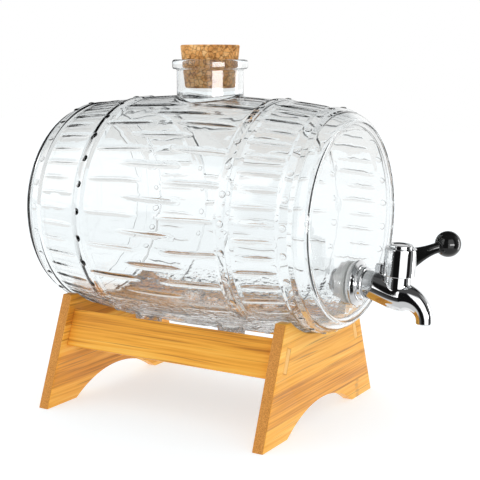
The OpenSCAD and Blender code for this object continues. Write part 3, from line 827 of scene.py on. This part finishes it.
all_rings = make(rivet_tree, "GeometryNodeJoinGeometry")
for kind in ("Mid", "Rim"):
    for side in (-1.0, 1.0):
        feed(rivet_tree, rivet_ring(kind, side), all_rings.socket.node.inputs[0])
end_tree(rivet_tree, rivet_in, all_rings)
dome = [(RIVET_R * math.cos(t), RIVET_H * math.sin(t)) for t in np.linspace(0.0, 1.5, 6)]
rivets = spun("rivets", [(0.2 * MM, -1.2 * MM), (RIVET_R, -1.2 * MM)] + dome, 14, Matrix.Identity(4))
use_tree(rivets, rivet_tree, glass, {})
combine(glass_skin, [rivets])
print("with rivets", len(glass_skin.data.polygons), "faces")

# %% [markdown]
# The neck grows out of the staves with a fillet that follows their curve: each
# ring of the fillet is lifted by the height of the glass under it. Its lip is a
# plain rounded outline. Four stubby feet under the belly let the barrel stand by
# itself. All of them are joined to the skin; then the room inside, the neck's
# bore and the hole for the tap are cut out.

# %% Neck, feet and hollows
NECK_R = 22.9 * MM
NECK_BORE = 19.6 * MM
LIP_R = 26.0 * MM
LIP_H = 6.4 * MM
LIP_NECK = 1.5 * MM
NECK_FILLET = 2.0 * MM
FOOT_AT = (34.0 * MM, 28.0 * MM)
FOOT_R = 8.0 * MM
FOOT_FLARE = 1.8 * MM
SHANK_HOLE = 8.3 * MM


def crown_z(x, y):
    """Height of the staves over a point near the neck."""
    return AXIS_Z + math.sqrt(stave_r(x) ** 2 - y * y)


def neck_ring(radius, lift, level, share, sides=160):
    """A ring round the neck: share 0 follows the staves, share 1 is level."""
    ring = []
    for t in turns(sides):
        x, y = radius * math.cos(t), radius * math.sin(t)
        z = (1 - share) * (crown_z(x, y) + lift) + share * level
        ring.append(Vector((NECK_X + x, y, z)))
    return ring


lip_low = NECK_TOP - LIP_H
neck_rings = [neck_ring(NECK_R * 0.5, -2.0 * MM, 0.0, 0.0),
              neck_ring(NECK_R + NECK_FILLET, -1.0 * MM, 0.0, 0.0)]
for t in np.linspace(0.0, math.pi / 2, 9):
    radius = NECK_R + NECK_FILLET * (1 - math.sin(t))
    neck_rings.append(neck_ring(radius, NECK_FILLET * (1 - math.cos(t)), 0.0, 0.0))
for share in (0.3, 0.6, 0.85):
    neck_rings.append(neck_ring(NECK_R, NECK_FILLET, lip_low - LIP_NECK, share))
lip_corners = [(NECK_R, lip_low - LIP_NECK, 0), (NECK_R, lip_low, 1.0 * MM), (LIP_R, lip_low, 1.6 * MM),
               (LIP_R, NECK_TOP, 1.8 * MM), (NECK_BORE * 0.5, NECK_TOP, 0)]
for radius, height in rounded(lip_corners, steps=7):
    neck_rings.append(neck_ring(radius, 0.0, height, 1.0))
neck_solid = capped_skin("neck_solid", neck_rings)

foot_low = float(glass_low[2])
feet = []
for x in (-FOOT_AT[0], FOOT_AT[0]):
    for y in (-FOOT_AT[1], FOOT_AT[1]):
        top = 2 * AXIS_Z - crown_z(x, y) + WALL * 0.6
        foot_corners = [(1.0 * MM, foot_low, 0), (FOOT_R, foot_low, 1.6 * MM),
                        (FOOT_R + FOOT_FLARE, top, 0), (1.0 * MM, top, 0)]
        spot = Matrix.Translation((NECK_X + x, y, 0.0))
        feet.append(spun("foot", rounded(foot_corners, steps=5), 64, spot))
combine(glass_skin, [neck_solid] + feet)

bore_corners = [(MM, AXIS_Z, 0), (NECK_BORE, AXIS_Z, 0), (NECK_BORE, NECK_TOP - 0.4 * MM, 1.5 * MM),
                (NECK_BORE + 2.0 * MM, NECK_TOP + MM, 0), (MM, NECK_TOP + MM, 0)]
neck_hollow = spun("neck_hollow", rounded(bore_corners, steps=6), 160, UPRIGHT)
tap_axis = Matrix.Translation((0.0, 0.0, TAP_Z)) @ Matrix.Rotation(math.pi / 2, 4, "Y")
tap_hollow = rod("tap_hollow", SHANK_HOLE, HEAD_X - 2 * WALL, HEAD_X + WALL, 96, tap_axis)
combine(glass_skin, [glass_room, neck_hollow, tap_hollow], "DIFFERENCE")
glass_skin.name = "glass_barrel_moulding"
finish_skin(glass_skin, 50, glass)
stand_for(glass_skin, "barrel", "glass", *GLASS_NODES)

# %% [markdown]
# ## The bamboo stand
# The four boards are plain, so their CAD shape is right. What the CAD model
# lacks is the broken edge of sanded wood: a copy of each board is merged into
# clean faces and gets a narrow rounded bevel.

# %% Boards of the stand


def eased_copy(node, material, width, segments=3):
    """A copy of a CAD node with its edges rounded."""
    mesh = frame["nodes"][node].data.copy()
    work = bmesh.new()
    work.from_mesh(mesh)
    bmesh.ops.remove_doubles(work, verts=work.verts, dist=0.01 * MM)
    bmesh.ops.dissolve_limit(work, angle_limit=math.radians(0.6), verts=work.verts, edges=work.edges)
    work.to_mesh(mesh)
    work.free()
    piece = bpy.data.objects.new(node + "_eased", mesh)
    scene.collection.objects.link(piece)
    bevel = piece.modifiers.new("ease", "BEVEL")
    bevel.width = width
    bevel.segments = segments
    bevel.limit_method = "ANGLE"
    bevel.angle_limit = math.radians(40)
    bake(piece)
    return finish_skin(piece, 32, material)


EDGE_EASE = 0.6 * MM
for node, material in panel_bamboo.items():
    board = eased_copy(node, material, EDGE_EASE)
    stand_for(board, "stand", "bamboo", node)

# %% [markdown]
# ## The cork
# A tapered plug with worn edges. Its skin is fine enough for real pits: the same
# kind of tree as on the glass sinks small hollows at random places, so the
# outline of the stopper is uneven too, not only its shading.

# %% Cork stopper
pit_tree, pit = geometry_tree("cork_pits", [("Depth", 0.5 * MM), ("Pit Scale", 260.0)])
pit_at = make(pit_tree, "GeometryNodeInputPosition")
pit_shape = noise(pit_at, pit["Pit Scale"], detail=3.0, roughness=0.65)
grain = (noise(pit_at, 700.0, detail=2.0) - 0.5) * (0.18 * MM)
raise_skin(pit_tree, pit, grain - pit_shape.fade(0.56, 0.72) * pit["Depth"])

CORK_TOP_R = float(cork_high[0] - cork_low[0]) / 2
CORK_TAPER = 0.105
cork_height = float(cork_high[2] - cork_low[2])
cork_low_r = CORK_TOP_R - CORK_TAPER * cork_height
cork_corners = [(0.3 * MM, float(cork_low[2]), 0), (cork_low_r, float(cork_low[2]), 1.6 * MM),
                (CORK_TOP_R, float(cork_high[2]), 0.9 * MM), (0.3 * MM, float(cork_high[2]), 0)]
cork_outline = []
rough_outline = rounded(cork_corners, steps=4)
for (r0, z0), (r1, z1) in zip(rough_outline[:-1], rough_outline[1:]):
    count = max(1, int(math.hypot(r1 - r0, z1 - z0) / (0.55 * MM)))
    for k in range(count):
        cork_outline.append((r0 + (r1 - r0) * k / count, z0 + (z1 - z0) * k / count))
cork_outline.append(rough_outline[-1])
stopper = spun("cork_body", cork_outline, 220, UPRIGHT)
use_tree(stopper, pit_tree, cork, {})
finish_skin(stopper, 60, cork)
stand_for(stopper, "cork", "cork", "cork_stopper")

# %% [markdown]
# ## The tap
# The body of a dispenser tap is one casting: a tube that swells round the valve
# and bends down into the spout, with a short upright neck for the valve and a
# small stop behind the lever. The casting is made the way a founder thinks of it:
# simple solids are joined, then very small voxels and some smoothing run the
# joins together. The turned parts, the flange, the collar and the threaded shank,
# keep their crisp edges, so they are spun and joined afterwards.

# %% Places in the tap
GASKET_T = 2.0 * MM
FLANGE_X = HEAD_X + GASKET_T
FLANGE_T = 3.2 * MM
COLLAR_LEN = 4.0 * MM
TUBE_X = FLANGE_X + FLANGE_T + COLLAR_LEN
hinge = [j for j in frame["record"]["behaviour"]["joints"] if j["name"] == "lever_turn"][0]
VALVE_AT = Vector(hinge["pos_m"])
VALVE_LEAN = math.atan2(hinge["axis"][0], hinge["axis"][2])
LEVER_TURN = -math.radians(hinge["range_deg"][0])
VALVE = Matrix.Translation(VALVE_AT) @ Matrix.Rotation(VALVE_LEAN, 4, "Y")
HANDLE = VALVE @ Matrix.Rotation(LEVER_TURN, 4, "Z")
VALVE_DROP = TAP_Z - VALVE_AT.z
PLUG_R = 7.0 * MM
TUBE_R = 9.2 * MM
BELLY_TAP_R = 9.4 * MM
BEND_R = 14.0 * MM
SPOUT_BACK = 1.8 * MM
BEND_X = VALVE_AT.x + PLUG_R - SPOUT_BACK
BEND_Z = VALVE_AT.z - BEND_R
SPOUT_R = 5.4 * MM
SPOUT_END = 1.7 * MM
WATERWAY_R = 3.0 * MM
SHANK_R = 8.0 * MM
SHANK_WALL = 3.0 * MM
SLIP = 0.05 * MM


def tube_station(u):
    """Place, direction and radius of the tube, from the collar (0) to the bend (1)."""
    run = BEND_X - TUBE_X
    drop = u * u * (3 - 2 * u)
    slope = -math.atan(VALVE_DROP * 6 * u * (1 - u) / run)
    radius = TUBE_R + (BELLY_TAP_R - TUBE_R) * math.sin(math.radians(150 * u))
    return TUBE_X + u * run, TAP_Z - VALVE_DROP * drop, slope, radius


def bend_station(v):
    """Place, direction and radius of the spout, from the bend (0) to its end (1)."""
    turn = math.pi / 2 * v
    start_r = tube_station(1.0)[3]
    radius = SPOUT_R + (start_r - SPOUT_R) * (1 - v) ** 1.7
    return BEND_X + BEND_R * math.sin(turn), BEND_Z + BEND_R * math.cos(turn), -turn, radius


def cross_ring(station, sides=56):
    """A ring of points square to the tube at a station."""
    x, z, slope, radius = station
    ring = []
    for t in turns(sides):
        up, side = radius * math.cos(t), -radius * math.sin(t)
        ring.append(Vector((x - up * math.sin(slope), side, z + up * math.cos(slope))))
    return ring


print("valve at", [round(v, 4) for v in VALVE_AT], "lever turned", round(math.degrees(LEVER_TURN), 1))

# %% Casting of the tap
stations = [(TUBE_X - COLLAR_LEN * 0.7, TAP_Z, 0.0, TUBE_R)]
stations += [tube_station(u) for u in np.linspace(0.0, 1.0, 20)[:-1]]
stations += [bend_station(v) for v in np.linspace(0.0, 1.0, 24)]
mouth_x, mouth_z = BEND_X + BEND_R, BEND_Z - SPOUT_END
stations.append((mouth_x, mouth_z, -math.pi / 2, SPOUT_R))
casting = capped_skin("casting", [cross_ring(s) for s in stations])

HUB_LOW = 13.9 * MM
HUB_TOP = 32.0 * MM
HUB_R = 10.6 * MM
VALVE_NECK_R = 8.3 * MM
NECK_END = HUB_LOW + 1.6 * MM
valve_neck = rod("valve_neck", VALVE_NECK_R, 0.0, NECK_END, 72, VALVE)


def prism(name, outline, thickness, place):
    """A flat outline of (x, z) points made thick along y."""
    rings = [[place @ Vector((x, y, z)) for x, z in outline] for y in (-thickness / 2, thickness / 2)]
    return capped_skin(name, rings)


post_in, post_out = HUB_R + 0.4 * MM, HUB_R + 4.9 * MM
post_root = VALVE_NECK_R - 1.0 * MM
post_step, post_top = HUB_LOW - 0.4 * MM, HUB_LOW + 5.6 * MM
post_outline = [(-post_root, HUB_LOW - 7 * MM), (-post_root, post_step), (-post_in, post_step),
                (-post_in, post_top), (-post_out + 0.8 * MM, post_top),
                (-post_out, HUB_LOW + 4.8 * MM), (-post_out, HUB_LOW - 2 * MM)]
stop_post = prism("stop_post", post_outline[::-1], 5.0 * MM, VALVE)
combine(casting, [valve_neck, stop_post])
soften(casting, 0.35 * MM, 6)
print("casting", len(casting.data.polygons), "faces")

# %% Turned flange, collar and shank
STEP = 1.2 * MM
COLLAR_R = 11.0 * MM
FLANGE_R = 15.0 * MM
FLANGE_RIM = 1.8 * MM
SHANK_REACH = 17.0 * MM
SHANK_END = HEAD_X - SHANK_REACH
THREAD = 1.5 * MM
THREAD_DEPTH = 0.75 * MM
turned_corners = [(1.0 * MM, SHANK_END, 0)]
thread_x = SHANK_END
while thread_x < HEAD_X - WALL - THREAD:
    turned_corners.append((SHANK_R - THREAD_DEPTH, thread_x, 0))
    turned_corners.append((SHANK_R, thread_x + THREAD / 2, 0))
    thread_x += THREAD
turned_corners += [(SHANK_R - 0.1 * MM, thread_x, 0), (SHANK_R - 0.1 * MM, FLANGE_X, 0),
                   (FLANGE_R, FLANGE_X, 0.4 * MM), (FLANGE_R, FLANGE_X + FLANGE_RIM, 0.6 * MM),
                   (COLLAR_R + STEP, FLANGE_X + FLANGE_T, 0.3 * MM),
                   (COLLAR_R + STEP, FLANGE_X + FLANGE_T + STEP, 0.5 * MM),
                   (COLLAR_R, FLANGE_X + FLANGE_T + STEP, 0.3 * MM), (COLLAR_R, TUBE_X, 0.9 * MM),
                   (TUBE_R - 1.0 * MM, TUBE_X, 0)]
turned = spun("turned", rounded(turned_corners, steps=4), 128, tap_axis)
combine(casting, [turned])
chamber = rod("chamber", PLUG_R + SLIP, -7.3 * MM, 20 * MM, 96, VALVE)
bore_r = SHANK_R - SHANK_WALL
bore_outline = [(MM, SHANK_END - MM), (bore_r, SHANK_END - MM),
                (bore_r, TUBE_X), (MM, VALVE_AT.x - 3 * MM)]
shank_bore = spun("shank_bore", bore_outline, 64, tap_axis)
bore_stations = [(VALVE_AT.x, VALVE_AT.z, 0.0, WATERWAY_R)]
bore_stations += [(*bend_station(v)[:3], WATERWAY_R) for v in np.linspace(0.0, 1.0, 20)]
bore_stations.append((mouth_x, mouth_z - MM, -math.pi / 2, WATERWAY_R))
spout_bore = capped_skin("spout_bore", [cross_ring(s, 40) for s in bore_stations])
combine(casting, [chamber, shank_bore, spout_bore], "DIFFERENCE")
casting.name = "tap_casting"
finish_skin(casting, 40, chrome)
stand_for(casting, "barrel", "chrome", "tap_body")

# %% [markdown]
# The handle is a turned chrome hub with a black lever set into its side. The
# lever's cross-section changes along its length, so it is a skin through rings:
# deep and narrow at the hub, lower towards the ball that it ends in. A tang at
# its root sits in a slot of the hub, and a cap covers the screw in the hub.

# %% Hub of the handle
HUB_ROOF = HUB_LOW + 2.2 * MM
POCKET_FLOOR = HUB_ROOF + 9.0 * MM
POCKET_R = 4.2 * MM
SCREW_HOLE = 1.95 * MM
CAVITY_R = 9.2 * MM
TANG_W = 4.4 * MM
TANG_LEN = 3.6 * MM
TANG_LOW, TANG_HIGH = HUB_TOP - 11.0 * MM, HUB_TOP - 3.0 * MM


def tang(name, gap, end):
    """The block at the lever's root, or with a gap its slot in the hub."""
    low, high = TANG_LOW - gap, TANG_HIGH + gap
    inner = HUB_R - TANG_LEN - gap
    return prism(name, [(inner, low), (inner, high), (end, high), (end, low)], TANG_W + 2 * gap, HANDLE)


hub_corners = [(CAVITY_R, HUB_LOW, 0), (HUB_R - 0.1 * MM, HUB_LOW, 0.4 * MM),
               (HUB_R, HUB_LOW + 3 * MM, 0), (HUB_R - 0.4 * MM, HUB_TOP, 1.0 * MM),
               (POCKET_R, HUB_TOP, 0), (POCKET_R, POCKET_FLOOR, 0), (SCREW_HOLE, POCKET_FLOOR, 0),
               (SCREW_HOLE, HUB_ROOF, 0), (CAVITY_R, HUB_ROOF, 0)]
hub = spun("hub_turned", rounded(hub_corners, steps=5), 128, HANDLE, loop=True)
combine(hub, [tang("tang_slot", SLIP, HUB_R + 2 * MM)], "DIFFERENCE")
finish_skin(hub, 40, chrome)
stand_for(hub, "handle", "chrome", "handle_hub")

# %% Lever with its ball
LEVER_LEN = 34.3 * MM
BALL_R = 8.5 * MM
BALL_S = HUB_TOP + 1.6 * MM


def arm_ring(u, sides=48):
    """A ring of the arm, from inside the hub (0) to inside the ball (1)."""
    root = HUB_R - 3.2 * MM
    out = root + u * (LEVER_LEN - root)
    low_from, low_to = HUB_TOP - 16.3 * MM, BALL_S - 5.0 * MM
    high_from, high_to = HUB_TOP - 0.4 * MM, BALL_S + 4.3 * MM
    low = low_from + (low_to - low_from) * math.sin(math.pi / 2 * min(1.0, 1.08 * u))
    high = high_from + (high_to - high_from) * u ** 1.9
    half = 3.6 * MM - 0.7 * MM * math.sin(math.pi * u)
    ring = []
    for t in turns(sides):
        c, s = math.cos(t), -math.sin(t)
        up = math.copysign(abs(c) ** 0.8, c) * (high - low) / 2
        side = math.copysign(abs(s) ** 0.8, s) * half
        ring.append(HANDLE @ Vector((out, side, (low + high) / 2 + up)))
    return ring


lever = capped_skin("lever_and_ball", [arm_ring(u) for u in np.linspace(0.0, 1.0, 36)])
ball_turn = np.linspace(-math.pi / 2 + 0.02, math.pi / 2 - 0.02, 40)
ball_outline = [(BALL_R * math.cos(t), BALL_R * math.sin(t)) for t in ball_turn]
ball = spun("ball", ball_outline, 72, HANDLE @ Matrix.Translation((LEVER_LEN, 0.0, BALL_S)))
combine(lever, [ball])
soften(lever, 0.3 * MM, 5)
hub_room = [(1.0 * MM, HUB_LOW - MM), (HUB_R + SLIP, HUB_LOW - MM), (HUB_R + SLIP, HUB_LOW + 3 * MM),
            (HUB_R - 0.4 * MM + SLIP, HUB_TOP), (HUB_R - 0.6 * MM + SLIP, HUB_TOP + 6 * MM),
            (1.0 * MM, HUB_TOP + 6 * MM)]
combine(lever, [spun("hub_room", hub_room, 128, HANDLE)], "DIFFERENCE")
combine(lever, [tang("lever_tang", 0.0, HUB_R + MM)])
finish_skin(lever, 40, black)
stand_for(lever, "handle", "black_plastic", "lever_arm")

# %% Cap over the screw
CAP_R = 7.8 * MM
CAP_H = 2.0 * MM
SPIGOT = 4.0 * MM
cap_corners = [(0.5 * MM, HUB_TOP - SPIGOT, 0), (POCKET_R - SLIP, HUB_TOP - SPIGOT, 0.3 * MM),
               (POCKET_R - SLIP, HUB_TOP, 0), (CAP_R, HUB_TOP, 0.15 * MM),
               (CAP_R, HUB_TOP + CAP_H, 0.7 * MM), (CAP_R - 2.0 * MM, HUB_TOP + CAP_H, 0.3 * MM),
               (CAP_R - 2.6 * MM, HUB_TOP + CAP_H - 0.6 * MM, 0.3 * MM),
               (0.5 * MM, HUB_TOP + CAP_H - 0.5 * MM, 0)]
cap = spun("lever_cap", rounded(cap_corners, steps=4), 128, HANDLE)
finish_skin(cap, 40, chrome)
stand_for(cap, "handle", "chrome", "handle_cap")

# %% [markdown]
# ## Small parts of the valve
# The washers, the nut, the plug and its rings keep their CAD shape. They get a
# finish with some life in it, because a few of them show through the glass.

# %% Finishes on the CAD nodes that stay
KEPT = {"outer_gasket": silicone, "inner_gasket": silicone, "slip_washer": nylon, "shank_nut": nylon,
        "valve_plug": nylon, "upper_o_ring": rubber, "lower_o_ring": rubber,
        "plug_retaining_ring": chrome, "handle_screw": chrome}
for node, material in KEPT.items():
    part = frame["nodes"][node]
    part.data.materials.clear()
    part.data.materials.append(material)
print(len(KEPT), "CAD nodes dressed")

# %% [markdown]
# ## Floor and light
# The photograph is a product shot on white. Clear glass and chrome show only
# what is round them, so the studio matters more than their own colour: white
# behind, a dark room behind the camera, and cards that draw the bright stripes
# on the chrome. The studio is a world whose brightness depends on the direction
# and on the kind of ray: the room is for reflections and for what is seen
# through the glass, while wood, cork and floor are lit by an even white dome.

# %% Floor
FLOOR_HALF = 3.0
floor_material, _ = new_finish("white_floor")
dress(floor_material, Base_Color=(0.55, 0.60, 0.63, 1.0), Emission_Color=(1.0, 1.0, 1.0, 1.0),
      Emission_Strength=0.54, Roughness=0.9, Specular_IOR_Level=0.0)
floor_z = float(cad_box[0][2]) - 0.05 * MM
floor_signs = ((-1, -1), (1, -1), (1, 1), (-1, 1))
floor_corners = [(x * FLOOR_HALF, y * FLOOR_HALF, floor_z) for x, y in floor_signs]
floor = new_piece("studio_floor", floor_corners, [(0, 1, 2, 3)])
floor.data.materials.append(floor_material)
floor.visible_glossy = False

# %% [markdown]
# Bearings count from the line to the camera, positive to the right. The stops
# below were read from the stripes on the turned hub, which mirrors the whole
# room: each bearing on the hub lies at half its angle from the hub's middle.

# %% Studio
studio = bpy.data.worlds.new("studio")
scene.world = studio
studio.use_nodes = True
sky = studio.node_tree
sky.nodes.clear()
dir_x, dir_y, dir_z = make(sky, "ShaderNodeTexCoord", output="Generated").parts()
towards_camera = dir_x * math.sin(TURN) + dir_y * -math.cos(TURN)
to_right = dir_x * math.cos(TURN) + dir_y * math.sin(TURN)
bearing = to_right.math("ARCTAN2", towards_camera) / math.radians(1.0)
GREY_STOPS = [(-180, 0.2), (-122, 0.15), (-116, 0.7), (-92, 0.5), (-86, 0.25), (-55, 0.08), (-48, 0.01),
              (-10, 0.01), (-6, 2.1), (42, 2.1), (46, 0.02), (68, 0.02), (72, 0.4), (98, 0.4),
              (104, 1.2), (150, 1.4), (165, 1.0), (180, 0.6)]
CARDS = [(-110, -50, 0.06, 0.7, 2.5), (97, 110, -0.5, 0.3, 9.0), (10, 44, -0.08, 0.08, 18.0)]


def grey(light):
    """A colour of equal red, green and blue."""
    return (light, light, light)


def card(left, right, low, high, soft=3.0):
    """1 inside a card of light between two bearings and two heights, 0 outside it."""
    across = bearing.fade(left - soft, left) * bearing.fade(right, right + soft, 1.0, 0.0)
    upright = dir_z.fade(low - 0.05, low) * dir_z.fade(high, high + 0.05, 1.0, 0.0)
    return across * upright


room = ramp(bearing / 360.0 + 0.5, [(0.5 + angle / 360.0, grey(light)) for angle, light in GREY_STOPS])
for left, right, low, high, light in CARDS:
    room = mix(card(left, right, low, high), room, grey(light))
room = mix(dir_z.fade(0.62, 0.8), room, grey(0.12))
room = mix(dir_z.fade(0.35, 0.55) * abs(bearing).fade(100.0, 118.0), room, grey(0.05))
ground = mix(abs(bearing).fade(95.0, 120.0), grey(1.0), grey(1.35))
room = mix(dir_z.fade(-0.55, -0.42, 1.0, 0.0), room, ground)
behind_glass = mix(abs(bearing).fade(60.0, 110.0), (0.58, 0.60, 0.62), (0.94, 0.945, 0.945))
behind_glass = mix(dir_z.fade(0.15, 0.5), behind_glass, (0.78, 0.80, 0.81))


def glow(colour):
    """A background of one colour or of a colour field."""
    return make(sky, "ShaderNodeBackground", {"Color": colour})


def choose(share, first, second):
    """Mixes two backgrounds by a share from 0 to 1."""
    return make(sky, "ShaderNodeMixShader", (share, first, second))


white = glow((1.0, 1.0, 1.0, 1.0))
ray = {out.name: Field(sky, out) for out in sky.nodes.new("ShaderNodeLightPath").outputs}
mirrored = ray["Is Glossy Ray"].most(ray["Is Transmission Ray"])
mirrored = mirrored * ray["Diffuse Depth"].math("LESS_THAN", 0.5)
through = ray["Transmission Depth"].least(1.0)
studio_room = choose(through, glow(room), glow(behind_glass))
seen = choose(ray["Is Camera Ray"], choose(mirrored, white, studio_room), white)
world_out = sky.nodes.new("ShaderNodeOutputWorld")
feed(sky, seen, world_out.inputs["Surface"])
scene.view_settings.view_transform = "Standard"
print("studio ready")
